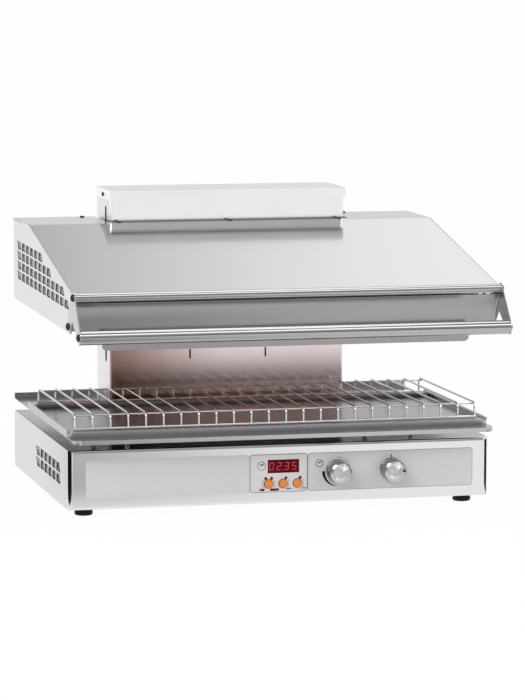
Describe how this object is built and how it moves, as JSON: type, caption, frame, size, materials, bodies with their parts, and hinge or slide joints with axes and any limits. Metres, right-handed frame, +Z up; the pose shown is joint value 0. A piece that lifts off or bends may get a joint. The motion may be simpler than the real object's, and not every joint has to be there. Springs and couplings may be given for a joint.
{
  "type": "cheese melter",
  "caption": "Free-standing electric cheese melter: a louvred hood with a front handle lifts on a rear column over a wire rack and drip tray, with timer, knobs and push buttons on the base.",
  "frame": {"origin": "on the table, under the middle of the bounding box", "axes": "+X to the right as seen from the front, +Y to the back, +Z up"},
  "size_m": [0.762, 0.662, 0.53],
  "materials": {
    "sheet_steel": "polished stainless steel",
    "tube_steel": "bright stainless steel",
    "fastener_steel": "satin",
    "carriage_aluminium": "as cast",
    "trim_aluminium": "satin anodised",
    "bush_bronze": "plain",
    "foot_rubber": "matt",
    "display_plastic": "tinted, glossy",
    "board_plastic": "lacquered",
    "button_plastic": "satin",
    "black_plastic": "satin",
    "pale_plastic": "matt",
    "strut_paint": "black, satin",
    "heater_glass": "quartz tube with a glowing coil",
    "holder_ceramic": "unglazed",
    "wool": "mineral wool"
  },
  "bodies": {
    "frame": {"base_floor": "sheet_steel", "base_side_left": "sheet_steel", "base_side_right": "sheet_steel", "base_back": "sheet_steel", "base_top": "sheet_steel", "base_screws": "fastener_steel", "rubber_feet": "foot_rubber", "foot_screws": "fastener_steel", "front_panel": "sheet_steel", "label_plates": "trim_aluminium", "timer_bezel": "trim_aluminium", "display_window": "display_plastic", "display_board": "board_plastic", "signal_lamps": "display_plastic", "rotary_controls": "black_plastic", "mains_parts": "pale_plastic", "cable_gland": "black_plastic", "deck": "sheet_steel", "deck_posts": "sheet_steel", "column_front": "sheet_steel", "column_side_left": "sheet_steel", "column_side_right": "sheet_steel", "column_back": "sheet_steel", "column_cap": "sheet_steel", "column_screws": "fastener_steel", "guide_rods": "tube_steel", "stop_buffers": "foot_rubber", "strut_cylinders": "strut_paint"},
    "hood": {"strut_rods": "tube_steel", "carriage": "carriage_aluminium", "guide_bushes": "bush_bronze", "hood_top": "sheet_steel", "hood_side_left": "sheet_steel", "hood_side_right": "sheet_steel", "hood_back": "sheet_steel", "hood_recess": "sheet_steel", "hood_front": "sheet_steel", "hood_bottom": "sheet_steel", "hood_screws": "fastener_steel", "upper_tube": "tube_steel", "handle_tube": "tube_steel", "handle_plate_left": "sheet_steel", "handle_plate_right": "sheet_steel", "handle_bolts": "fastener_steel", "heater_cassette": "sheet_steel", "heater_apron": "sheet_steel", "reflector": "trim_aluminium", "heating_tubes": "heater_glass", "tube_holders": "holder_ceramic", "heater_guard": "tube_steel", "insulation": "wool"},
    "tray": {"drip_tray": "sheet_steel"},
    "rack": {"wire_rack": "tube_steel"},
    "left_knob": {"knob_left": "trim_aluminium", "knob_left_shaft": "tube_steel"},
    "right_knob": {"knob_right": "trim_aluminium", "knob_right_shaft": "tube_steel"},
    "left_button": {"button_left": "button_plastic"},
    "middle_button": {"button_middle": "button_plastic"},
    "right_button": {"button_right": "button_plastic"}
  },
  "joints": [
    {"name": "hood_lift", "type": "slide", "parent": "frame", "child": "hood", "axis": [0, 0, 1], "range_m": [-0.098, 0.036]},
    {"name": "tray_slide", "type": "slide", "parent": "frame", "child": "tray", "axis": [0, -1, 0], "range_m": [0, 0.53]},
    {"name": "rack_slide", "type": "slide", "parent": "tray", "child": "rack", "axis": [0, -1, 0], "range_m": [0, 0.52]},
    {"name": "left_knob_turn", "type": "hinge", "parent": "frame", "child": "left_knob", "pos_m": [0.0995, -0.2291, 0.0682], "axis": [0, 1, 0], "range_deg": [0, 270]},
    {"name": "right_knob_turn", "type": "hinge", "parent": "frame", "child": "right_knob", "pos_m": [0.197, -0.2291, 0.0682], "axis": [0, 1, 0], "range_deg": [-90, 180]},
    {"name": "left_button_press", "type": "slide", "parent": "frame", "child": "left_button", "axis": [0, 1, 0], "range_m": [0, 0.0012], "stiffness_N_per_m": 900},
    {"name": "middle_button_press", "type": "slide", "parent": "frame", "child": "middle_button", "axis": [0, 1, 0], "range_m": [0, 0.0012], "stiffness_N_per_m": 900},
    {"name": "right_button_press", "type": "slide", "parent": "frame", "child": "right_button", "axis": [0, 1, 0], "range_m": [0, 0.0012], "stiffness_N_per_m": 900}
  ]
}
